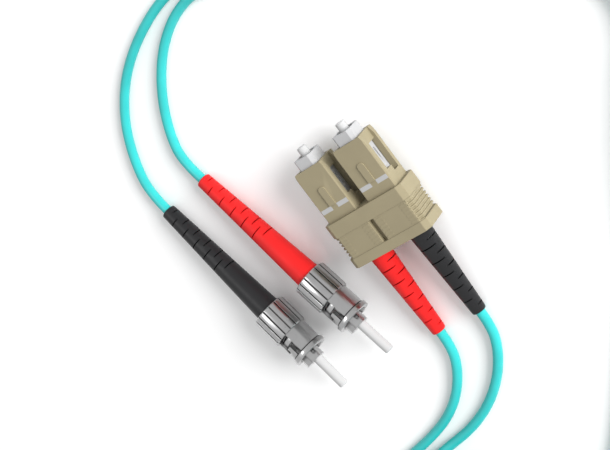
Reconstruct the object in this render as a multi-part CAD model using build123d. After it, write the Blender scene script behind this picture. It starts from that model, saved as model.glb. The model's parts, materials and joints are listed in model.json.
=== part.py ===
from build123d import *
import math
import os

# Duplex fibre optic patch cord, millimetres, +Z up.
# Two ST connectors (black boot, red boot) at one end, a clipped pair of SC
# connectors at the other. The pack lies on the plane z = 0, and the origin is
# the bottom centre of the box round the connectors.
# Each connector is modelled in its own frame, mating direction +Y, key up +Z,
# and then placed with a heading about Z and a small nose-up tilt.

# ---- cable and fibre ----
CABLE_D = 2.5
BUFFER_D = 0.9
FERRULE_D = 2.5
FERRULE_SHANK_D = 2.1
FERRULE_TIP_CHAMFER = 0.2
SLIDE_CLEARANCE = 0.05

# ---- ST connector (y = 0 at the rear plane of the knurl) ----
ST_TIP_Y = 27.0
ST_FERRULE_REAR_Y = 4.0
ST_HUB_D = 4.2
ST_HUB_FRONT_Y = 17.6
ST_HUB_NOTCH = 0.5
ST_KEY_WIDTH = 1.4
ST_KEY_ROOM = 0.4
ST_KEY_REAR_Y = 12.6
ST_KEY_ANGLE = 52.0
ST_COLLAR_Y = 9.0
ST_COLLAR_LENGTH = 1.3
ST_BARREL_REAR_Y = -2.6
ST_STUB_D = 3.2
ST_STUB_REAR_Y = -8.0
KNURL_D = 9.8
KNURL_LENGTH = 8.2
KNURL_RIM = 0.3
KNURL_RIBS = 16
KNURL_GROOVE_WIDTH = 0.34
KNURL_GROOVE_DEPTH = 0.45
SLEEVE_D = 8.7
SLEEVE_FRONT_Y = 13.7
RING_NECK_D = 8.1
RING_D = 9.6
RING_REAR_Y = 14.0
RING_LENGTH = 1.3
NUT_BORE_D = 7.4
SPRING_ROOM = 1.0
ST_BARREL_D = NUT_BORE_D - 2 * SPRING_ROOM
ST_KEY_HEIGHT = (NUT_BORE_D - ST_HUB_D) / 2 - ST_KEY_ROOM
NUT_REAR_WALL = 1.6
BAYONET_START_ANGLE = 56.0
BAYONET_SPAN = 52.0
BAYONET_WINDOW_LENGTH = 2.7
BAYONET_ENTRY_WIDTH = 1.5
BAYONET_REST_WIDTH = 1.1
BAYONET_REST_DEPTH = 1.1
WASHER_THICKNESS = 0.5
CLIP_RING_D = 6.2
CLIP_RING_THICKNESS = 0.5
CLIP_RING_GAP = 1.4
ST_CRIMP_D = 3.9
ST_CRIMP_LENGTH = 6.6

# ---- SC connector (y = 0 at the front plane of the duplex clip) ----
SC_PITCH = 12.7
SC_TIP_Y = 18.9
SC_FERRULE_LENGTH = 10.5
SC_FLANGE_D = 4.4
SC_FLANGE_LENGTH = 3.0
SC_FERRULE_TRAVEL = 1.0
HOUSING_WIDTH = 9.0
HOUSING_HEIGHT = 7.4
HOUSING_FRONT_Y = 14.2
HOUSING_REAR_GAP = 0.2
GRIP_TRAVEL = 2.0
HOUSING_EDGE = 0.3
HOUSING_LEAD_DEPTH = 0.5
HOUSING_LEAD_LENGTH = 1.9
SC_KEY_WIDTH = 1.9
SC_KEY_HEIGHT = 0.35
SC_KEY_REAR_Y = 3.7
SC_KEY_FRONT_Y = 8.9
WINDOW_HEIGHT = 4.6
WINDOW_FRONT_Y = 11.2
WINDOW_UPPER_REAR_Y = 4.1
WINDOW_LOWER_REAR_Y = 2.6
WINDOW_RECESS = 0.8
FRAME_WIDTH = 5.6
FRAME_HEIGHT = 6.3
FRAME_FRONT_Y = 16.9
FRAME_REAR_Y = -6.0
FRAME_CHAMFER = 0.9
FRAME_BORE_D = 4.6
FRAME_STOP_Y = 11.4
FRAME_STOP_LENGTH = 1.2
SC_FERRULE_SHOULDER_Y = FRAME_STOP_Y + FRAME_STOP_LENGTH + 2 * SLIDE_CLEARANCE
LATCH_VOID_FRONT_Y = 9.6
LATCH_VOID_REAR_Y = 7.6
LATCH_RAMP_REAR_Y = 5.4
LATCH_VOID_DEPTH = 0.45
REAR_BODY_FRONT_Y = 1.0
REAR_BODY_STUB_D = 3.4
REAR_BODY_STUB_Y = -16.5
SC_CRIMP_D = 4.1
SC_CRIMP_LENGTH = 5.6

# ---- duplex clip ----
CLIP_LENGTH = 12.6
CLIP_SIDE_WALL = 1.35
CLIP_TOP_WALL = 1.1
CLIP_HALF_WIDTH = (SC_PITCH + HOUSING_WIDTH) / 2 + CLIP_SIDE_WALL
CLIP_HALF_HEIGHT = HOUSING_HEIGHT / 2 + CLIP_TOP_WALL
CLIP_CHAMFER_WIDTH = 1.4
CLIP_CHAMFER_HEIGHT = 1.1
CLIP_WAIST_FRONT_Y = -3.8
CLIP_WAIST_REAR_Y = -10.0
CLIP_WAIST_DEPTH = 0.22
CLIP_SLOT_WIDTH = 1.5
CLIP_SLOT_DEPTH = 1.5
CLIP_GROOVES = 6
CLIP_GROOVE_WIDTH = 0.45
CLIP_GROOVE_DEPTH = 0.5
CLIP_BOOT_CLEARANCE = 0.25

# ---- boots ----
ST_BOOT_FRONT_D = 6.9
ST_BOOT_TAIL_D = 4.0
ST_BOOT_FRONT_Y = -0.15
ST_BOOT_TAIL_Y = -37.0
ST_SLIT_ROWS = 11
ST_SLIT_FIRST_Y = -15.0
SC_BOOT_FRONT_D = 6.0
SC_BOOT_TAIL_D = 3.7
SC_BOOT_SEAT = 2.0
SC_BOOT_FRONT_Y = SC_BOOT_SEAT - CLIP_LENGTH
HOUSING_REAR_Y = SC_BOOT_FRONT_Y + GRIP_TRAVEL + HOUSING_REAR_GAP
SC_BOOT_TAIL_Y = -37.1
SC_SLIT_ROWS = 11
SC_SLIT_FIRST_Y = -14.9
SLIT_PITCH = 2.0
SLIT_WIDTH = 0.32
SLIT_WALL = 0.2
BOOT_TAIL_ROUND = 0.45

# ---- springs ----
SPRING_WIRE_D = 0.5
SC_SPRING_TURNS = 5
ST_SPRING_TURNS = 4
SPRING_END_GAP = 0.05

# ---- placing: foot of y = 0 on the floor, heading of +Y, nose-up tilt ----
ST_TILT = 4.4
SC_TILT = 6.5
ST_AXIS_Z = KNURL_D / 2 * math.cos(math.radians(ST_TILT))
SC_AXIS_Z = (CLIP_HALF_HEIGHT * math.cos(math.radians(SC_TILT))
             + CLIP_LENGTH * math.sin(math.radians(SC_TILT)))
ST_BLACK_FOOT = (-14.02, -17.74)
ST_BLACK_HEADING = -39.3
ST_RED_FOOT = (-1.20, -7.01)
ST_RED_HEADING = -37.0
SC_FOOT = (17.45, 15.85)
SC_HEADING = 122.0

# ---- cord routes: points chosen by hand after the run that leaves each boot ----
# Their heights are those of a cable ROUTE_CABLE_D thick, and follow CABLE_D.
ROUTE_CABLE_D = 2.5
ST_LEAD = 7.0
SC_LEAD = 5.0
ROUTE_ST_BLACK = [
    (-51.3, 18.0, 1.3), (-52.7, 27.3, 1.3), (-51.7, 36.5, 1.3), (-48.6, 45.0, 1.3),
    (-43.3, 53.5, 1.3), (-36.4, 61.3, 1.3), (-28.0, 67.0, 1.3), (-15.5, 69.5, 1.3),
    (2.5, 70.7, 1.3), (25.5, 71.6, 1.3), (50.5, 72.2, 1.3), (73.9, 72.5, 1.3),
    (84.1, 62.2, 1.3), (83.2, 45.0, 1.3), (80.4, 22.0, 1.3), (78.6, -6.0, 1.3),
    (76.9, -30.0, 1.3), (74.3, -49.0, 1.3), (69.8, -61.5, 1.3), (64.0, -74.2, 1.3),
]
ROUTE_ST_RED = [
    (-39.0, 25.3, 1.3), (-40.2, 33.8, 1.3), (-39.6, 42.4, 1.3), (-37.3, 50.5, 1.3),
    (-32.9, 58.0, 1.3), (-26.2, 63.7, 1.3), (-15.2, 66.2, 1.3), (2.0, 67.4, 1.3),
    (25.0, 68.3, 1.3), (50.0, 69.0, 1.3), (72.4, 69.4, 1.3), (81.2, 60.8, 2.4),
    (81.6, 45.0, 3.9), (82.5, 22.0, 4.0), (82.0, -6.0, 1.6), (80.2, -30.0, 1.3),
    (77.2, -50.0, 1.3), (72.3, -63.5, 1.3), (65.6, -76.5, 1.3),
]
ROUTE_SC_RED = [
    (35.45, -28.9, 1.3), (34.6, -36.5, 1.3), (31.4, -43.8, 1.3), (26.0, -50.6, 1.3),
    (20.1, -56.6, 1.4), (16.1, -63.8, 2.4), (15.1, -72.4, 5.0), (18.1, -81.2, 8.0),
    (24.1, -88.4, 9.8),
]
ROUTE_SC_BLACK = [
    (46.25, -22.2, 1.3), (45.6, -30.2, 1.3), (42.5, -38.5, 1.3), (37.4, -45.8, 1.3),
    (30.9, -51.9, 1.4), (25.0, -58.2, 3.4), (21.6, -66.2, 7.0), (21.9, -75.0, 10.0),
    (24.9, -83.9, 10.4),
]

# ---- coil of both cords ----
COIL_CENTRE = (44.0, -78.5)
COIL_INNER_R = 18.6
COIL_CABLES_WIDE = 2.32
COIL_CABLES_HIGH = 4.92
COIL_OUTER_R = COIL_INNER_R + COIL_CABLES_WIDE * CABLE_D
COIL_HEIGHT = COIL_CABLES_HIGH * CABLE_D


# ---- helpers in a connector's own frame ----
def rod(diameter, y0, y1):
    """Cylinder on the mating axis from y0 to y1."""
    return Pos(0, (y0 + y1) / 2, 0) * Rot(-90, 0, 0) * Cylinder(diameter / 2, y1 - y0)


def taper(diameter0, diameter1, y0, y1):
    """Cone on the mating axis, diameter0 at y0 and diameter1 at y1."""
    cone = Cone(diameter0 / 2, diameter1 / 2, y1 - y0)
    return Pos(0, (y0 + y1) / 2, 0) * Rot(-90, 0, 0) * cone


def ring(outer_d, inner_d, y0, y1):
    """Tube on the mating axis from y0 to y1."""
    return rod(outer_d, y0, y1) - rod(inner_d, y0, y1)


def block(x0, x1, y0, y1, z0, z1):
    """Box between two corners."""
    centre = Pos((x0 + x1) / 2, (y0 + y1) / 2, (z0 + z1) / 2)
    return centre * Box(x1 - x0, y1 - y0, z1 - z0)


def spun(shape, angle):
    """Turn a shape about the mating axis; 0 is +X and 90 is +Z."""
    return Rot(0, -angle, 0) * shape


def rim_chamfer(shape, y, diameter, size):
    """Chamfer the round edge of this diameter in the plane at y."""
    edges = [edge for edge in shape.edges().filter_by(GeomType.CIRCLE)
             if abs(edge.arc_center.Y - y) < 0.01 and abs(edge.radius - diameter / 2) < 0.01]
    return chamfer(edges, size)


# ---- pieces that both connector kinds share ----
def make_ferrule(rear_y, shoulder_y, tip_y):
    """Ceramic ferrule: a thinner shank in its holder, then the full diameter and a chamfered tip."""
    ferrule = rod(FERRULE_D, shoulder_y, tip_y)
    ferrule = rim_chamfer(ferrule, tip_y, FERRULE_D, FERRULE_TIP_CHAMFER)
    return ferrule + rod(FERRULE_SHANK_D, rear_y, shoulder_y)


def make_buffer(tail_y, front_y):
    """Tight-buffered fibre on the axis."""
    return rod(BUFFER_D, tail_y, front_y)


def make_jacket_end(tail_y, front_y):
    """Cable jacket held inside the boot."""
    return ring(CABLE_D, BUFFER_D, tail_y, front_y)


def make_spring(mean_d, y0, y1, turns):
    """Open coil spring between y0 and y1."""
    length = y1 - y0 - SPRING_WIRE_D - 2 * SPRING_END_GAP
    helix = Helix(pitch=length / turns, height=length, radius=mean_d / 2)
    start = Plane(origin=helix @ 0, z_dir=helix % 0)
    wire = sweep(start * Circle(SPRING_WIRE_D / 2), path=helix, is_frenet=True)
    return Pos(0, y0 + SPRING_WIRE_D / 2 + SPRING_END_GAP, 0) * Rot(-90, 0, 0) * wire


def cut_slits(boot, first_y, rows):
    """Bend-relief slits, opposite pairs that turn 90 degrees from row to row."""
    reach = ST_BOOT_FRONT_D
    chord = CABLE_D / 2 + SLIT_WALL
    for row in range(rows):
        y = first_y - row * SLIT_PITCH
        pair = block(chord, reach, y - SLIT_WIDTH, y, -reach, reach)
        pair += block(-reach, -chord, y - SLIT_WIDTH, y, -reach, reach)
        boot -= spun(pair, 90 * (row % 2))
    return boot


def round_tail(boot, tail_y, tail_d):
    """Round the outer rim of a boot's tail."""
    edges = [edge for edge in boot.edges().filter_by(GeomType.CIRCLE)
             if abs(edge.arc_center.Y - tail_y) < 0.01 and abs(edge.radius - tail_d / 2) < 0.01]
    return fillet(edges, BOOT_TAIL_ROUND)


# ---- ST connector ----
def st_bayonet_slot():
    """L-shaped bayonet slot with its rest notch, cut through the nut's wall."""
    inner = NUT_BORE_D / 2 - 0.6
    outer = KNURL_D / 2
    window_rear = KNURL_LENGTH
    window_front = window_rear + BAYONET_WINDOW_LENGTH
    wall = ring(2 * outer, 2 * inner, window_rear, window_front)
    sector = spun(block(0, outer, window_rear, window_front, 0, outer), 0)
    sector &= spun(block(-outer, outer, window_rear, window_front, -outer, 0), BAYONET_SPAN)
    slot = wall & sector
    half_entry = math.degrees(BAYONET_ENTRY_WIDTH / SLEEVE_D)
    entry = block(inner, outer, window_rear, RING_REAR_Y,
                  -BAYONET_ENTRY_WIDTH / 2, BAYONET_ENTRY_WIDTH / 2)
    slot += spun(entry, BAYONET_SPAN - half_entry)
    half_rest = math.degrees(BAYONET_REST_WIDTH / SLEEVE_D)
    rest = block(inner, outer, window_rear, window_front + BAYONET_REST_DEPTH,
                 -BAYONET_REST_WIDTH / 2, BAYONET_REST_WIDTH / 2)
    slot += spun(rest, half_rest)
    ramp = block(inner, SLEEVE_D / 2 - 0.25, RING_REAR_Y - 0.1, RING_REAR_Y + RING_LENGTH,
                 -BAYONET_ENTRY_WIDTH / 2, BAYONET_ENTRY_WIDTH / 2)
    slot += spun(ramp, BAYONET_SPAN - half_entry)
    return spun(slot, BAYONET_START_ANGLE)


def make_st_nut():
    """Coupling nut: ribbed grip, sleeve with two bayonet slots, front ring."""
    front_y = RING_REAR_Y + RING_LENGTH
    knurl = rod(KNURL_D, 0, KNURL_LENGTH)
    knurl = rim_chamfer(knurl, 0, KNURL_D, KNURL_RIM)
    knurl = rim_chamfer(knurl, KNURL_LENGTH, KNURL_D, KNURL_RIM)
    for rib in range(KNURL_RIBS):
        groove = block(KNURL_D / 2 - KNURL_GROOVE_DEPTH, KNURL_D, 0, KNURL_LENGTH,
                       -KNURL_GROOVE_WIDTH / 2, KNURL_GROOVE_WIDTH / 2)
        knurl -= spun(groove, rib * 360 / KNURL_RIBS)
    nut = knurl + rod(SLEEVE_D, KNURL_LENGTH, SLEEVE_FRONT_Y)
    nut += rod(RING_NECK_D, SLEEVE_FRONT_Y, RING_REAR_Y)
    front_ring = rod(RING_D, RING_REAR_Y, front_y)
    nut += rim_chamfer(front_ring, front_y, RING_D, KNURL_RIM / 2)
    nut -= rod(NUT_BORE_D, NUT_REAR_WALL, front_y)
    nut -= rod(ST_BARREL_D + 2 * SLIDE_CLEARANCE, 0, NUT_REAR_WALL)
    for turn in (0, 180):
        nut -= spun(st_bayonet_slot(), turn)
    return nut


def make_st_body():
    """Barrel, spring collar and keyed hub that holds the ferrule."""
    collar_front = ST_COLLAR_Y + ST_COLLAR_LENGTH
    body = rod(ST_STUB_D, ST_STUB_REAR_Y, ST_BARREL_REAR_Y)
    body += rod(ST_BARREL_D, ST_BARREL_REAR_Y, ST_COLLAR_Y)
    body += rod(NUT_BORE_D - 4 * SLIDE_CLEARANCE, ST_COLLAR_Y, collar_front)
    body += rod(ST_HUB_D, collar_front, ST_HUB_FRONT_Y)
    key = block(0, ST_HUB_D / 2 + ST_KEY_HEIGHT, ST_KEY_REAR_Y, ST_HUB_FRONT_Y,
                -ST_KEY_WIDTH / 2, ST_KEY_WIDTH / 2)
    body += spun(key, ST_KEY_ANGLE)
    notch = block(ST_HUB_D / 2 - ST_HUB_NOTCH, ST_HUB_D, ST_HUB_FRONT_Y - 5 * ST_HUB_NOTCH,
                  ST_HUB_FRONT_Y - 3 * ST_HUB_NOTCH, -ST_HUB_NOTCH, ST_HUB_NOTCH)
    body -= spun(notch, ST_KEY_ANGLE + 90)
    body -= rod(FERRULE_SHANK_D, ST_FERRULE_REAR_Y, ST_HUB_FRONT_Y)
    return body - rod(BUFFER_D, ST_STUB_REAR_Y, ST_FERRULE_REAR_Y)


def make_st_washer():
    """Washer between the nut's rear wall and the spring."""
    return ring(NUT_BORE_D - 4 * SLIDE_CLEARANCE, ST_BARREL_D + 4 * SLIDE_CLEARANCE,
                NUT_REAR_WALL, NUT_REAR_WALL + WASHER_THICKNESS)


def make_st_retaining_clip():
    """Open ring on the barrel that keeps the nut from sliding off."""
    clip = ring(CLIP_RING_D, ST_BARREL_D, -CLIP_RING_THICKNESS - SLIDE_CLEARANCE, -SLIDE_CLEARANCE)
    return clip - block(-CLIP_RING_GAP / 2, CLIP_RING_GAP / 2, -2, 0, 0, CLIP_RING_D)


def make_st_boot():
    """Tapered boot, smooth in front, slit towards its tail."""
    crimp_rear = ST_BARREL_REAR_Y - ST_CRIMP_LENGTH - 2 * SLIDE_CLEARANCE
    boot = taper(ST_BOOT_TAIL_D, ST_BOOT_FRONT_D, ST_BOOT_TAIL_Y, ST_BOOT_FRONT_Y)
    boot = round_tail(boot, ST_BOOT_TAIL_Y, ST_BOOT_TAIL_D)
    boot -= rod(CABLE_D, ST_BOOT_TAIL_Y, ST_BOOT_FRONT_Y)
    boot -= rod(ST_CRIMP_D + 2 * SLIDE_CLEARANCE, crimp_rear - SLIDE_CLEARANCE, ST_BOOT_FRONT_Y)
    boot -= rod(ST_BARREL_D, ST_BARREL_REAR_Y, ST_BOOT_FRONT_Y)
    clip_rear = -CLIP_RING_THICKNESS - 2 * SLIDE_CLEARANCE
    boot -= rod(CLIP_RING_D + 2 * SLIDE_CLEARANCE, clip_rear, ST_BOOT_FRONT_Y)
    return cut_slits(boot, ST_SLIT_FIRST_Y, ST_SLIT_ROWS)


def st_pieces():
    """All pieces of one ST connector, by name."""
    crimp_front = ST_BARREL_REAR_Y - SLIDE_CLEARANCE
    crimp_rear = crimp_front - ST_CRIMP_LENGTH
    washer_front = NUT_REAR_WALL + WASHER_THICKNESS
    spring_mean = (NUT_BORE_D + ST_BARREL_D) / 2
    return {
        "coupling_nut": make_st_nut(),
        "thrust_washer": make_st_washer(),
        "spring": make_spring(spring_mean, washer_front, ST_COLLAR_Y, ST_SPRING_TURNS),
        "retaining_clip": make_st_retaining_clip(),
        "body": make_st_body(),
        "ferrule": make_ferrule(ST_FERRULE_REAR_Y, ST_HUB_FRONT_Y, ST_TIP_Y),
        "crimp_sleeve": ring(ST_CRIMP_D, ST_STUB_D, crimp_rear, crimp_front),
        "buffer": make_buffer(ST_BOOT_TAIL_Y, ST_FERRULE_REAR_Y),
        "jacket_end": make_jacket_end(ST_BOOT_TAIL_Y, crimp_rear),
        "boot": make_st_boot(),
    }


# ---- SC connector ----
def make_sc_housing():
    """Push-pull outer housing with its key and two side windows."""
    half_w = HOUSING_WIDTH / 2
    half_h = HOUSING_HEIGHT / 2
    half_window = WINDOW_HEIGHT / 2
    housing = block(-half_w, half_w, HOUSING_REAR_Y, HOUSING_FRONT_Y, -half_h, half_h)
    housing = chamfer(housing.edges().filter_by(Axis.Y), HOUSING_EDGE)
    lead = Plane.XY * make_face(Polyline(
        (half_w, HOUSING_FRONT_Y - HOUSING_LEAD_LENGTH),
        (half_w + 1, HOUSING_FRONT_Y - HOUSING_LEAD_LENGTH),
        (half_w + 1, HOUSING_FRONT_Y + 1),
        (half_w - HOUSING_LEAD_DEPTH, HOUSING_FRONT_Y + 1),
        (half_w - HOUSING_LEAD_DEPTH, HOUSING_FRONT_Y), close=True))
    lead = extrude(lead, HOUSING_HEIGHT, both=True)
    key = block(-SC_KEY_WIDTH / 2, SC_KEY_WIDTH / 2, SC_KEY_REAR_Y,
                SC_KEY_FRONT_Y - SC_KEY_WIDTH / 2, half_h - HOUSING_EDGE, half_h + SC_KEY_HEIGHT)
    nose = Cylinder(SC_KEY_WIDTH / 2, HOUSING_EDGE + SC_KEY_HEIGHT)
    nose_z = half_h + (SC_KEY_HEIGHT - HOUSING_EDGE) / 2
    housing += key + Pos(0, SC_KEY_FRONT_Y - SC_KEY_WIDTH / 2, nose_z) * nose
    for side in (0, 180):
        housing -= spun(lead, side)
        housing -= spun(block(half_w - WINDOW_RECESS, half_w, WINDOW_FRONT_Y, HOUSING_FRONT_Y,
                              -half_window, half_window), side)
    for x0, x1 in ((0, half_w), (-half_w, 0)):
        housing -= block(x0, x1, WINDOW_UPPER_REAR_Y, WINDOW_FRONT_Y, 0, half_window)
        housing -= block(x0, x1, WINDOW_LOWER_REAR_Y, WINDOW_FRONT_Y, -half_window, 0)
    half_bore_w = FRAME_WIDTH / 2 + SLIDE_CLEARANCE
    half_bore_h = FRAME_HEIGHT / 2 + SLIDE_CLEARANCE
    return housing - block(-half_bore_w, half_bore_w, HOUSING_REAR_Y, HOUSING_FRONT_Y,
                           -half_bore_h, half_bore_h)


def make_sc_frame():
    """Inner plug frame with the ferrule stop and two latch shoulders."""
    half_w = FRAME_WIDTH / 2
    half_h = FRAME_HEIGHT / 2
    half_window = WINDOW_HEIGHT / 2 - SLIDE_CLEARANCE
    frame = block(-half_w, half_w, FRAME_REAR_Y, FRAME_FRONT_Y, -half_h, half_h)
    frame = chamfer(frame.edges().filter_by(Axis.Y), FRAME_CHAMFER)
    void = make_face(Polyline(
        (half_w - LATCH_VOID_DEPTH, LATCH_VOID_FRONT_Y),
        (half_w + 1, LATCH_VOID_FRONT_Y),
        (half_w + 1, LATCH_RAMP_REAR_Y),
        (half_w, LATCH_RAMP_REAR_Y),
        (half_w - LATCH_VOID_DEPTH, LATCH_VOID_REAR_Y), close=True))
    void = extrude(void, half_window - FRAME_CHAMFER, both=True)
    for side in (0, 180):
        frame -= spun(void, side)
    frame -= rod(FRAME_BORE_D, FRAME_STOP_Y + FRAME_STOP_LENGTH, FRAME_FRONT_Y)
    frame -= rod(FERRULE_D + 2 * SLIDE_CLEARANCE, FRAME_STOP_Y, FRAME_STOP_Y + FRAME_STOP_LENGTH)
    return frame - rod(FRAME_BORE_D, FRAME_REAR_Y, FRAME_STOP_Y)


def make_sc_rear_body():
    """Rear body that carries the spring and the crimp stub."""
    body = rod(FRAME_BORE_D, FRAME_REAR_Y, REAR_BODY_FRONT_Y)
    body += rod(min(FRAME_WIDTH, FRAME_HEIGHT), HOUSING_REAR_Y, FRAME_REAR_Y)
    body += rod(REAR_BODY_STUB_D, REAR_BODY_STUB_Y, HOUSING_REAR_Y)
    return body - rod(BUFFER_D, REAR_BODY_STUB_Y, REAR_BODY_FRONT_Y)


def make_sc_boot():
    """Slender boot over the crimp, slit along its length."""
    crimp_rear = REAR_BODY_STUB_Y - SLIDE_CLEARANCE
    boot = rod(SC_BOOT_FRONT_D, -CLIP_LENGTH, SC_BOOT_FRONT_Y)
    boot += taper(SC_BOOT_TAIL_D, SC_BOOT_FRONT_D, SC_BOOT_TAIL_Y, -CLIP_LENGTH)
    boot = round_tail(boot, SC_BOOT_TAIL_Y, SC_BOOT_TAIL_D)
    boot -= rod(CABLE_D, SC_BOOT_TAIL_Y, SC_BOOT_FRONT_Y)
    boot -= rod(SC_CRIMP_D + 2 * SLIDE_CLEARANCE, crimp_rear - SLIDE_CLEARANCE, SC_BOOT_FRONT_Y)
    return cut_slits(boot, SC_SLIT_FIRST_Y, SC_SLIT_ROWS)


def sc_pieces():
    """All pieces of one SC connector, by name."""
    ferrule_rear = SC_TIP_Y - SC_FERRULE_LENGTH
    crimp_front = REAR_BODY_STUB_Y + SC_CRIMP_LENGTH
    return {
        "outer_housing": make_sc_housing(),
        "plug_frame": make_sc_frame(),
        "ferrule": make_ferrule(ferrule_rear, SC_FERRULE_SHOULDER_Y, SC_TIP_Y),
        "ferrule_flange": ring(SC_FLANGE_D, FERRULE_SHANK_D, ferrule_rear,
                               ferrule_rear + SC_FLANGE_LENGTH - SLIDE_CLEARANCE),
        "spring": make_spring(FRAME_BORE_D - SPRING_WIRE_D - 2 * SLIDE_CLEARANCE,
                              REAR_BODY_FRONT_Y, ferrule_rear, SC_SPRING_TURNS),
        "rear_body": make_sc_rear_body(),
        "crimp_sleeve": ring(SC_CRIMP_D, REAR_BODY_STUB_D, REAR_BODY_STUB_Y, crimp_front),
        "buffer": make_buffer(SC_BOOT_TAIL_Y, ferrule_rear - SC_FERRULE_TRAVEL - SLIDE_CLEARANCE),
        "jacket_end": make_jacket_end(SC_BOOT_TAIL_Y, REAR_BODY_STUB_Y - 2 * SLIDE_CLEARANCE),
        "boot": make_sc_boot(),
    }


# ---- duplex clip ----
def clip_slab(y_front, y_rear, inset):
    """Slab of the clip's eight-sided outline, drawn in by inset."""
    half_w = CLIP_HALF_WIDTH - inset
    half_h = CLIP_HALF_HEIGHT - inset
    top_w = half_w - CLIP_CHAMFER_WIDTH
    side_h = half_h - CLIP_CHAMFER_HEIGHT
    outline = make_face(Polyline(
        (top_w, half_h), (half_w, side_h), (half_w, -side_h), (top_w, -half_h),
        (-top_w, -half_h), (-half_w, -side_h), (-half_w, side_h), (-top_w, half_h), close=True))
    return Pos(0, y_front, 0) * extrude(Plane.XZ * outline, y_front - y_rear)


def make_duplex_clip():
    """Clip that holds two SC housings side by side and is their common grip."""
    clip = clip_slab(0, CLIP_WAIST_FRONT_Y, 0)
    clip += clip_slab(CLIP_WAIST_FRONT_Y, CLIP_WAIST_REAR_Y, CLIP_WAIST_DEPTH)
    clip += clip_slab(CLIP_WAIST_REAR_Y, -CLIP_LENGTH, 0)
    pitch = (CLIP_WAIST_FRONT_Y - CLIP_WAIST_REAR_Y) / (CLIP_GROOVES + 0.5)
    top_w = CLIP_HALF_WIDTH - CLIP_CHAMFER_WIDTH
    for index in range(CLIP_GROOVES):
        y = CLIP_WAIST_FRONT_Y - pitch * (index + 0.75)
        rib = clip_slab(y, y - CLIP_GROOVE_WIDTH, 0)
        rib -= clip_slab(y, y - CLIP_GROOVE_WIDTH, CLIP_GROOVE_DEPTH)
        rib -= block(-top_w, top_w, y - CLIP_GROOVE_WIDTH, y, -CLIP_HALF_HEIGHT, CLIP_HALF_HEIGHT)
        clip -= rib
    clip -= block(-CLIP_SLOT_WIDTH / 2, CLIP_SLOT_WIDTH / 2, CLIP_WAIST_REAR_Y, CLIP_WAIST_FRONT_Y,
                  CLIP_HALF_HEIGHT - CLIP_SLOT_DEPTH, CLIP_HALF_HEIGHT)
    half_w = HOUSING_WIDTH / 2 + SLIDE_CLEARANCE
    half_h = HOUSING_HEIGHT / 2 + SLIDE_CLEARANCE
    for x in (-SC_PITCH / 2, SC_PITCH / 2):
        clip -= block(x - half_w, x + half_w, HOUSING_REAR_Y - SLIDE_CLEARANCE, 0, -half_h, half_h)
        passage = rod(SC_BOOT_FRONT_D + 2 * CLIP_BOOT_CLEARANCE, -CLIP_LENGTH, 0)
        clip -= Pos(x, 0, 0) * passage
    return clip


# ---- cords ----
def cord_path(place, tail_y, lead, route):
    """Path of a free cord: a lead on the boot's axis, then the route's points."""
    points = [(place * Pos(0, y, 0)).position for y in (tail_y, tail_y - lead)]
    points += [Vector(x, y, z * CABLE_D / ROUTE_CABLE_D) for x, y, z in route]
    runs = [(b - a).length for a, b in zip(points, points[1:])]
    radii = []
    for index in range(1, len(points) - 1):
        before = points[index] - points[index - 1]
        after = points[index + 1] - points[index]
        half_turn = math.radians(before.get_angle(after)) / 2
        radii.append(0.45 * min(runs[index - 1], runs[index]) / math.tan(half_turn))
    return FilletPolyline(*points, radius=radii), radii


def make_cord(name, place, tail_y, lead, route):
    """Plain tube of the cable's diameter along its route."""
    path, radii = cord_path(place, tail_y, lead, route)
    start = Plane(origin=path @ 0, z_dir=path % 0)
    tube = sweep(start * Circle(CABLE_D / 2), path=path)
    expected = math.pi * CABLE_D ** 2 / 4 * path.length
    print(name, "length", round(path.length, 1), "volume / (section x length)",
          round(tube.volume / expected, 4))
    print("  radii", [round(radius, 1) for radius in radii])
    return tube


def make_coil():
    """Closed ring that the coiled stretch of both cords fills."""
    coil = Cylinder(COIL_OUTER_R, COIL_HEIGHT) - Cylinder(COIL_INNER_R, COIL_HEIGHT)
    return Pos(COIL_CENTRE[0], COIL_CENTRE[1], COIL_HEIGHT / 2) * coil


# ---- placing and writing ----
def placed(foot, heading, tilt, height):
    """Location of a connector frame from its foot, heading and tilt."""
    return Pos(foot[0], foot[1], height) * Rot(0, 0, heading - 90) * Rot(tilt, 0, 0)


def main():
    """Build every node in its place and write it."""
    st_places = {
        "black": placed(ST_BLACK_FOOT, ST_BLACK_HEADING, ST_TILT, ST_AXIS_Z),
        "red": placed(ST_RED_FOOT, ST_RED_HEADING, ST_TILT, ST_AXIS_Z),
    }
    sc_place = placed(SC_FOOT, SC_HEADING, SC_TILT, SC_AXIS_Z)
    sc_places = {
        "left": sc_place * Pos(-SC_PITCH / 2, 0, 0),
        "right": sc_place * Pos(SC_PITCH / 2, 0, 0),
    }
    nodes = {"duplex_clip": sc_place * make_duplex_clip()}
    for colour, place in st_places.items():
        for piece, shape in st_pieces().items():
            nodes[f"st_{colour}_{piece}"] = place * shape
    for side, place in sc_places.items():
        for piece, shape in sc_pieces().items():
            nodes[f"sc_{side}_{piece}"] = place * shape
    cords = {
        "cable_black_st": (st_places["black"], ST_BOOT_TAIL_Y, ST_LEAD, ROUTE_ST_BLACK),
        "cable_red_st": (st_places["red"], ST_BOOT_TAIL_Y, ST_LEAD, ROUTE_ST_RED),
        "cable_red_sc": (sc_places["left"], SC_BOOT_TAIL_Y, SC_LEAD, ROUTE_SC_RED),
        "cable_black_sc": (sc_places["right"], SC_BOOT_TAIL_Y, SC_LEAD, ROUTE_SC_BLACK),
    }
    for name, cord in cords.items():
        nodes[name] = make_cord(name, *cord)
    nodes["cable_coil"] = make_coil()
    os.makedirs("parts", exist_ok=True)
    for name, shape in nodes.items():
        export_step(shape, f"parts/{name}.step")


main()
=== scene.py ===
import json
import math

import bmesh
import bpy
from mathutils import Matrix, Vector


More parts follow.
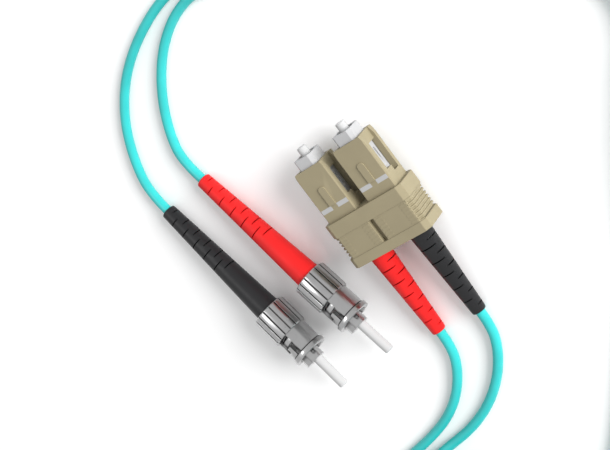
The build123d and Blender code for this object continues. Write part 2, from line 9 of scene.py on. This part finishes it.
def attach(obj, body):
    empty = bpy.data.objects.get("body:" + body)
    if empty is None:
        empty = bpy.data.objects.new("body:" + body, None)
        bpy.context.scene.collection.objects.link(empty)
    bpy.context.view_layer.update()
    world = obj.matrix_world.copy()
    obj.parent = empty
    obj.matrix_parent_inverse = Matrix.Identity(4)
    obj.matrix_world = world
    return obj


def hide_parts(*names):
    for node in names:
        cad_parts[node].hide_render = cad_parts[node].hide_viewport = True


MM = 0.001

# Camera: where it stands, what it looks at, and how far it is rolled.
CAMERA_AT = Vector((0.1674, 0.1404, 0.3008))
CAMERA_AIM = Vector((-0.0037, 0.0046, 0.0))
CAMERA_ROLL = math.radians(-128.65)
CAMERA_LENS = 88.5

# Connector frames: foot on the floor, axis height, heading of +Y, nose-up tilt.
ST_BLACK = ((-14.02, -17.74, 4.886), -39.3, 4.4)
ST_RED = ((-1.20, -7.01, 4.886), -37.0, 4.4)
SC_PAIR = ((17.45, 15.85, 6.195), 122.0, 6.5)
SC_HALF_PITCH = 6.35
ST_TAIL_Y = -37.0
SC_TAIL_Y = -37.1
ST_LEAD = 7.0
SC_LEAD = 5.0

# Pale marks on the SC housings.
HOUSING_HALF_HEIGHT = 3.7
MARK_OFFSET = 2.5
MARK_Y = 3.1
MARK_WIDTH = 3.3
MARK_LENGTH = 1.15
MARK_THICKNESS = 0.02
MARK_CORNER = 0.08

# Low moulded bars on the clip's top.
CLIP_WAIST_HALF_HEIGHT = 4.58
GRIP_COLUMNS = (-9.6, -2.1, 2.1, 9.6)
GRIP_ROWS = 6
GRIP_FIRST_Y = -4.6
GRIP_PITCH = 0.95
GRIP_WIDTH = 2.0
GRIP_LENGTH = 0.55
GRIP_THICKNESS = 0.07
GRIP_CORNER = 0.2

# Edge radii put on the CAD nodes, and how near vertices are merged first, in millimetres.
CLIP_EDGE = 0.18
HOUSING_EDGE = 0.1
FRAME_EDGE = 0.12
ST_METAL_EDGE = 0.05
WELD_DISTANCE = 0.002

# Cords, in millimetres: route points after each boot's lead, in the frame's axes.
CABLE_D = 2.5
ROUTE_ST_BLACK = [
    (-51.3, 18.0, 1.3), (-52.7, 27.3, 1.3), (-51.7, 36.5, 1.3), (-48.6, 45.0, 1.3),
    (-43.3, 53.5, 1.3), (-36.4, 61.3, 1.3), (-28.0, 67.0, 1.3), (-15.5, 69.5, 1.3),
    (2.5, 70.7, 1.3), (25.5, 71.6, 1.3), (50.5, 72.2, 1.3), (73.9, 72.5, 1.3),
    (84.1, 62.2, 1.3), (83.2, 45.0, 1.3), (80.4, 22.0, 1.3), (78.6, -6.0, 1.3),
    (76.9, -30.0, 1.3), (74.3, -49.0, 1.3), (69.8, -61.5, 1.3), (64.0, -74.2, 1.3),
]
ROUTE_ST_RED = [
    (-39.0, 25.3, 1.3), (-40.2, 33.8, 1.3), (-39.6, 42.4, 1.3), (-37.3, 50.5, 1.3),
    (-32.9, 58.0, 1.3), (-26.2, 63.7, 1.3), (-15.2, 66.2, 1.3), (2.0, 67.4, 1.3),
    (25.0, 68.3, 1.3), (50.0, 69.0, 1.3), (72.4, 69.4, 1.3), (81.2, 60.8, 2.4),
    (81.6, 45.0, 3.9), (82.5, 22.0, 4.0), (82.0, -6.0, 1.6), (80.2, -30.0, 1.3),
    (77.2, -50.0, 1.3), (72.3, -63.5, 1.3), (65.6, -76.5, 1.3),
]
ROUTE_SC_RED = [
    (35.45, -28.9, 1.3), (34.6, -36.5, 1.3), (31.4, -43.8, 1.3), (26.0, -50.6, 1.3),
    (20.1, -56.6, 1.4), (16.1, -63.8, 2.4), (15.1, -72.4, 5.0), (18.1, -81.2, 8.0),
    (24.1, -88.4, 9.8),
]
ROUTE_SC_BLACK = [
    (46.25, -22.2, 1.3), (45.6, -30.2, 1.3), (42.5, -38.5, 1.3), (37.4, -45.8, 1.3),
    (30.9, -51.9, 1.4), (25.0, -58.2, 3.4), (21.6, -66.2, 7.0), (21.9, -75.0, 10.0),
    (24.9, -83.9, 10.4),
]
COIL_CENTRE = (44.0, -78.5)
COIL_WHOLE_TURNS = 3
COIL_TURN_POINTS = 16
COIL_RISE = 2.6
BLACK_COIL_R = 20.2
RED_COIL_R = 22.9

# Stage, in metres, and its lights.
FLOOR_HALF_SIDE = 3.0
WORLD_STRENGTH = 0.7
KEY_LIGHT = {"azimuth": 30.0, "elevation": 24.0, "distance": 2.0, "size": 1.3, "power": 62.0}
STREAK_LIGHT = {"azimuth": 160.0, "elevation": 66.0, "distance": 0.9, "size": 0.14, "power": 1.6}


# ---- places ----
def local_frame(spec):
    """Matrix of a connector's own frame, in millimetres."""
    foot, heading, tilt = spec
    turn = Matrix.Rotation(math.radians(heading - 90), 4, "Z")
    nose_up = Matrix.Rotation(math.radians(tilt), 4, "X")
    return Matrix.Translation(foot) @ turn @ nose_up


def metres(point):
    """A millimetre point in metres."""
    return Vector(point) * MM


# ---- materials ----
def new_material(name):
    """Empty node material with its shader and output."""
    material = bpy.data.materials.new(name)
    material.use_nodes = True
    tree = material.node_tree
    tree.nodes.clear()
    shader = tree.nodes.new("ShaderNodeBsdfPrincipled")
    output = tree.nodes.new("ShaderNodeOutputMaterial")
    tree.links.new(shader.outputs["BSDF"], output.inputs["Surface"])
    return material, tree, shader


def noise(tree, scale, detail=3.0, stretch=(1.0, 1.0, 1.0)):
    """Noise in object coordinates; returns its factor socket."""
    coords = tree.nodes.new("ShaderNodeTexCoord")
    mapping = tree.nodes.new("ShaderNodeMapping")
    mapping.inputs["Scale"].default_value = stretch
    texture = tree.nodes.new("ShaderNodeTexNoise")
    texture.inputs["Scale"].default_value = scale
    texture.inputs["Detail"].default_value = detail
    tree.links.new(coords.outputs["Object"], mapping.inputs["Vector"])
    tree.links.new(mapping.outputs["Vector"], texture.inputs["Vector"])
    return texture.outputs["Fac"]


def ramp(tree, fac, low, high, start=0.35, end=0.65):
    """Colour ramp between two colours."""
    node = tree.nodes.new("ShaderNodeValToRGB")
    node.color_ramp.elements[0].position = start
    node.color_ramp.elements[1].position = end
    node.color_ramp.elements[0].color = (*low, 1.0)
    node.color_ramp.elements[1].color = (*high, 1.0)
    tree.links.new(fac, node.inputs["Fac"])
    return node.outputs["Color"]


def moulded(name, colour, roughness, grain=2600.0, bump=0.12, variation=0.05, specular=0.5):
    """Moulded plastic, rubber or ceramic: slight colour drift, uneven gloss, fine grain."""
    material, tree, shader = new_material(name)
    low = tuple(channel * (1 - variation) for channel in colour)
    high = tuple(min(1.0, channel * (1 + variation)) for channel in colour)
    drift = noise(tree, 160.0)
    tree.links.new(ramp(tree, drift, low, high), shader.inputs["Base Color"])
    gloss = tree.nodes.new("ShaderNodeMapRange")
    gloss.inputs["To Min"].default_value = roughness - 0.05
    gloss.inputs["To Max"].default_value = roughness + 0.07
    tree.links.new(noise(tree, 700.0, 5.0), gloss.inputs["Value"])
    tree.links.new(gloss.outputs["Result"], shader.inputs["Roughness"])
    relief = tree.nodes.new("ShaderNodeBump")
    relief.inputs["Strength"].default_value = bump
    relief.inputs["Distance"].default_value = 0.00003
    tree.links.new(noise(tree, grain, 4.0), relief.inputs["Height"])
    tree.links.new(relief.outputs["Normal"], shader.inputs["Normal"])
    shader.inputs["Specular IOR Level"].default_value = specular
    return material


def metal(name, colour, roughness, recess=0.0006):
    """Plated or turned metal: faint uneven polish, and painted shade: the colour is darkened where
    a groove or slot closes in.
    """
    material, tree, shader = new_material(name)
    low = tuple(channel * 0.96 for channel in colour)
    high = tuple(min(1.0, channel * 1.03) for channel in colour)
    # Painted shade: ambient occlusion darkens the base colour in grooves, slots and other recesses.
    occlusion = tree.nodes.new("ShaderNodeAmbientOcclusion")
    occlusion.inputs["Distance"].default_value = recess
    occlusion.only_local = True
    groove_painted_shade = ramp(tree, occlusion.outputs["AO"], (0.12, 0.12, 0.12), (1.0, 1.0, 1.0), 0.35, 0.85)
    shade = tree.nodes.new("ShaderNodeMix")
    shade.data_type = "RGBA"
    shade.blend_type = "MULTIPLY"
    shade.inputs[0].default_value = 1.0
    tree.links.new(ramp(tree, noise(tree, 300.0), low, high), shade.inputs[6])
    tree.links.new(groove_painted_shade, shade.inputs[7])
    tree.links.new(shade.outputs[2], shader.inputs["Base Color"])
    shader.inputs["Metallic"].default_value = 1.0
    gloss = tree.nodes.new("ShaderNodeMapRange")
    gloss.inputs["To Min"].default_value = roughness - 0.02
    gloss.inputs["To Max"].default_value = roughness + 0.03
    tree.links.new(noise(tree, 1500.0, 4.0), gloss.inputs["Value"])
    tree.links.new(gloss.outputs["Result"], shader.inputs["Roughness"])
    relief = tree.nodes.new("ShaderNodeBump")
    relief.inputs["Strength"].default_value = 0.02
    relief.inputs["Distance"].default_value = 0.000004
    tree.links.new(noise(tree, 6000.0, 3.0), relief.inputs["Height"])
    tree.links.new(relief.outputs["Normal"], shader.inputs["Normal"])
    return material


def make_materials():
    """Every finish, by the record's material slot."""
    return {
        "aqua_jacket": moulded("aqua_jacket", (0.024, 0.44, 0.43), 0.42, bump=0.1),
        "red_boot": moulded("red_boot", (0.62, 0.014, 0.014), 0.5, specular=0.2),
        "black_boot": moulded("black_boot", (0.012, 0.012, 0.013), 0.48, specular=0.35),
        "beige_housing": moulded("beige_housing", (0.27, 0.233, 0.148), 0.5, variation=0.03,
                                 specular=0.25),
        "grey_frame": moulded("grey_frame", (0.40, 0.40, 0.405), 0.4, variation=0.03,
                              specular=0.25),
        "ceramic": moulded("ceramic", (0.46, 0.46, 0.46), 0.3, bump=0.02, variation=0.01,
                           specular=0.3),
        "buffer": moulded("buffer", (0.8, 0.8, 0.74), 0.4),
        "nickel": metal("nickel", (0.52, 0.52, 0.52), 0.28),
        "nickel_body": metal("nickel_body", (0.56, 0.56, 0.56), 0.28),
        "steel": metal("steel", (0.2, 0.2, 0.2), 0.35),
        "crimp": metal("crimp", (0.4, 0.4, 0.4), 0.3),
        "mark": moulded("mark", (0.40, 0.40, 0.40), 0.6, variation=0.02, specular=0.25),
    }


def paint_nodes():
    """Give every CAD node the material of its slot."""
    slots = {part["node"]: part["material_slot"] for part in frame["record"]["subparts"]}
    for name, obj in frame["nodes"].items():
        obj.data.materials.clear()
        obj.data.materials.append(MATERIALS[slots[name]])


def soften_edges(name, width, segments=2, angle=35.0):
    """Small rounded edges on a CAD node, by modifiers only."""
    obj = frame["nodes"][name]
    weld = obj.modifiers.new("weld", "WELD")
    weld.merge_threshold = WELD_DISTANCE * MM
    bevel = obj.modifiers.new("edges", "BEVEL")
    bevel.width = width * MM
    bevel.segments = segments
    bevel.limit_method = "ANGLE"
    bevel.angle_limit = math.radians(angle)
    bevel.harden_normals = True


def soften_all():
    """Moulded and machined edges, each with its own small radius."""
    soften_edges("duplex_clip", CLIP_EDGE)
    for side in ("left", "right"):
        soften_edges(f"sc_{side}_outer_housing", HOUSING_EDGE)
        soften_edges(f"sc_{side}_plug_frame", FRAME_EDGE)
    for colour in ("black", "red"):
        soften_edges(f"st_{colour}_coupling_nut", ST_METAL_EDGE)
        soften_edges(f"st_{colour}_body", ST_METAL_EDGE)


# ---- small pieces ----
def rounded_patch(name, place, width, length, thickness, corner, segments=5):
    """Thin patch with rounded corners, straddling its place's XY plane."""
    mesh = bmesh.new()
    outline = []
    for quarter, (sx, sy) in enumerate(((1, 1), (-1, 1), (-1, -1), (1, -1))):
        for step in range(segments + 1):
            angle = math.radians(90 * (quarter + step / segments))
            outline.append((sx * (width / 2 - corner) + corner * math.cos(angle),
                            sy * (length / 2 - corner) + corner * math.sin(angle)))
    rings = []
    for inset, height in ((0.0, -thickness), (0.0, thickness * 0.6), (thickness * 0.4, thickness)):
        shrink = 1 - 2 * inset / length
        rings.append([mesh.verts.new(metres(place @ Vector((x * shrink, y * shrink, height))))
                      for x, y in outline])
    count = len(outline)
    for low, high in zip(rings, rings[1:]):
        for index in range(count):
            after = (index + 1) % count
            mesh.faces.new((low[index], low[after], high[after], high[index]))
    mesh.faces.new(rings[-1])
    mesh.faces.new(list(reversed(rings[0])))
    data = bpy.data.meshes.new(name)
    mesh.to_mesh(data)
    mesh.free()
    patch = bpy.data.objects.new(name, data)
    bpy.context.collection.objects.link(patch)
    return patch


def make_grip_lines():
    """Low moulded bars on the clip's top, beside its slot and near its sides."""
    place = local_frame(SC_PAIR)
    for column, centre in enumerate(GRIP_COLUMNS):
        for row in range(GRIP_ROWS):
            y = GRIP_FIRST_Y - row * GRIP_PITCH
            spot = place @ Matrix.Translation((centre, y, CLIP_WAIST_HALF_HEIGHT))
            bar = rounded_patch(f"clip_bar_{column}_{row}", spot, GRIP_WIDTH, GRIP_LENGTH,
                                GRIP_THICKNESS, GRIP_CORNER)
            bar.data.materials.append(MATERIALS["beige_housing"])
            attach(bar, "sc_grip")


def make_marks():
    """Two pale marks across each SC housing, just in front of the clip."""
    place = local_frame(SC_PAIR)
    for side, centre in (("left", -SC_HALF_PITCH), ("right", SC_HALF_PITCH)):
        for half, offset in (("inner", -MARK_OFFSET), ("outer", MARK_OFFSET)):
            spot = place @ Matrix.Translation((centre + offset, MARK_Y, HOUSING_HALF_HEIGHT))
            mark = rounded_patch(f"sc_{side}_mark_{half}", spot, MARK_WIDTH, MARK_LENGTH,
                                 MARK_THICKNESS, MARK_CORNER)
            mark.data.materials.append(MATERIALS["mark"])
            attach(mark, "sc_grip")


# ---- cords ----
def boot_lead(spec, across, tail_y, lead):
    """The cord's first two points, on the boot's axis."""
    place = local_frame(spec)
    return [place @ Vector((across, tail_y, 0)), place @ Vector((across, tail_y - lead, 0))]


def coil_turns(start, end, radius):
    """Control points of the rising turns from one route's end to the other's."""
    centre = Vector((*COIL_CENTRE, 0))
    first = math.atan2(*((start - centre).yx))
    last = math.atan2(*((end - centre).yx))
    sweep = first - last + COIL_WHOLE_TURNS * 2 * math.pi
    step = 2 * math.pi / COIL_TURN_POINTS
    count = round(sweep / step)
    turns = []
    for index in range(1, count):
        angle = first - sweep * index / count
        height = start.z + COIL_RISE * sweep * index / count / (2 * math.pi)
        offset = Vector((math.cos(angle), math.sin(angle), 0)) * radius
        turns.append(centre + offset + Vector((0, 0, height)))
    return turns


def make_cord(name, st_lead, st_route, sc_route, sc_lead, coil_radius):
    """One cable from its ST boot through the coil to its SC boot."""
    start = Vector(st_route[-1])
    end = Vector(sc_route[-1])
    points = st_lead + [Vector(point) for point in st_route]
    points += coil_turns(start, end, coil_radius)
    points += [Vector(point) for point in reversed(sc_route)] + list(reversed(sc_lead))
    curve = bpy.data.curves.new(name, "CURVE")
    curve.dimensions = "3D"
    curve.bevel_depth = CABLE_D / 2 * MM
    curve.bevel_resolution = 8
    curve.resolution_u = 10
    spline = curve.splines.new("NURBS")
    spline.points.add(len(points) - 1)
    for control, point in zip(spline.points, points):
        control.co = (*metres(point), 1.0)
    spline.order_u = 3
    spline.use_endpoint_u = True
    cord = bpy.data.objects.new(name, curve)
    bpy.context.collection.objects.link(cord)
    curve.materials.append(MATERIALS["aqua_jacket"])
    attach(cord, "cable_assembly")
    return cord


def make_cords():
    """Both cables, which stand for the CAD tubes and the coil."""
    black = make_cord("cord_black", boot_lead(ST_BLACK, 0, ST_TAIL_Y, ST_LEAD), ROUTE_ST_BLACK,
                      ROUTE_SC_BLACK, boot_lead(SC_PAIR, SC_HALF_PITCH, SC_TAIL_Y, SC_LEAD),
                      BLACK_COIL_R)
    red = make_cord("cord_red", boot_lead(ST_RED, 0, ST_TAIL_Y, ST_LEAD), ROUTE_ST_RED,
                    ROUTE_SC_RED, boot_lead(SC_PAIR, -SC_HALF_PITCH, SC_TAIL_Y, SC_LEAD),
                    RED_COIL_R)
    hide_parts("cable_black_st", "cable_black_sc", "cable_coil")
    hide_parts("cable_red_st", "cable_red_sc")


# ---- stage ----
def make_camera():
    """Camera at the photograph's viewing angle."""
    camera = bpy.data.cameras.new("camera")
    camera.lens = CAMERA_LENS
    camera.sensor_width = 36.0
    camera.clip_start = 0.01
    obj = bpy.data.objects.new("camera", camera)
    bpy.context.collection.objects.link(obj)
    look = (CAMERA_AIM - CAMERA_AT).to_track_quat("-Z", "Y").to_matrix().to_4x4()
    roll = Matrix.Rotation(CAMERA_ROLL, 4, "Z")
    obj.matrix_world = Matrix.Translation(CAMERA_AT) @ look @ roll
    bpy.context.scene.camera = obj


def area_light(name, azimuth, elevation, distance, size, power, lights, shines):
    """Round area light aimed at the origin; it lights surfaces, or only shines in them, or both."""
    light = bpy.data.lights.new(name, "AREA")
    light.shape = "DISK"
    light.size = size
    light.energy = power
    obj = bpy.data.objects.new(name, light)
    bpy.context.collection.objects.link(obj)
    flat = math.cos(math.radians(elevation))
    position = Vector((flat * math.cos(math.radians(azimuth)),
                       flat * math.sin(math.radians(azimuth)),
                       math.sin(math.radians(elevation)))) * distance
    look = (-position).to_track_quat("-Z", "Y").to_matrix().to_4x4()
    obj.matrix_world = Matrix.Translation(position) @ look
    obj.visible_diffuse = lights
    obj.visible_glossy = shines


def make_stage():
    """Pale floor, white surroundings and soft lights."""
    mesh = bpy.data.meshes.new("floor")
    half = FLOOR_HALF_SIDE
    mesh.from_pydata([(-half, -half, 0), (half, -half, 0), (half, half, 0), (-half, half, 0)],
                     [], [(0, 1, 2, 3)])
    floor = bpy.data.objects.new("floor", mesh)
    bpy.context.collection.objects.link(floor)
    material, _, shader = new_material("floor")
    shader.inputs["Base Color"].default_value = (0.93, 0.93, 0.93, 1.0)
    shader.inputs["Roughness"].default_value = 0.9
    shader.inputs["Specular IOR Level"].default_value = 0.1
    mesh.materials.append(material)
    world = bpy.data.worlds.new("surroundings")
    world.use_nodes = True
    background = world.node_tree.nodes["Background"]
    background.inputs["Color"].default_value = (1.0, 1.0, 1.0, 1.0)
    background.inputs["Strength"].default_value = WORLD_STRENGTH
    bpy.context.scene.world = world
    area_light("key", **KEY_LIGHT, lights=True, shines=False)
    area_light("streak", **STREAK_LIGHT, lights=False, shines=True)


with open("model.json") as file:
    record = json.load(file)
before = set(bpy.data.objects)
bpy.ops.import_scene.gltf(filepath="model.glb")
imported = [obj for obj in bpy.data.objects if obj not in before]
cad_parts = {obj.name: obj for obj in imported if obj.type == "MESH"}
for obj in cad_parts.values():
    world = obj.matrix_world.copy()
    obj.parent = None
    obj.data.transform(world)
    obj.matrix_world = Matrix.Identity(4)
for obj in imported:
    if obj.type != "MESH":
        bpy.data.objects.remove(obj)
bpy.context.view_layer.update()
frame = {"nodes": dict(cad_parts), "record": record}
bpy.context.scene.view_settings.view_transform = "Standard"
MATERIALS = make_materials()
make_camera()
make_stage()
make_cords()
paint_nodes()
soften_all()
make_marks()
make_grip_lines()
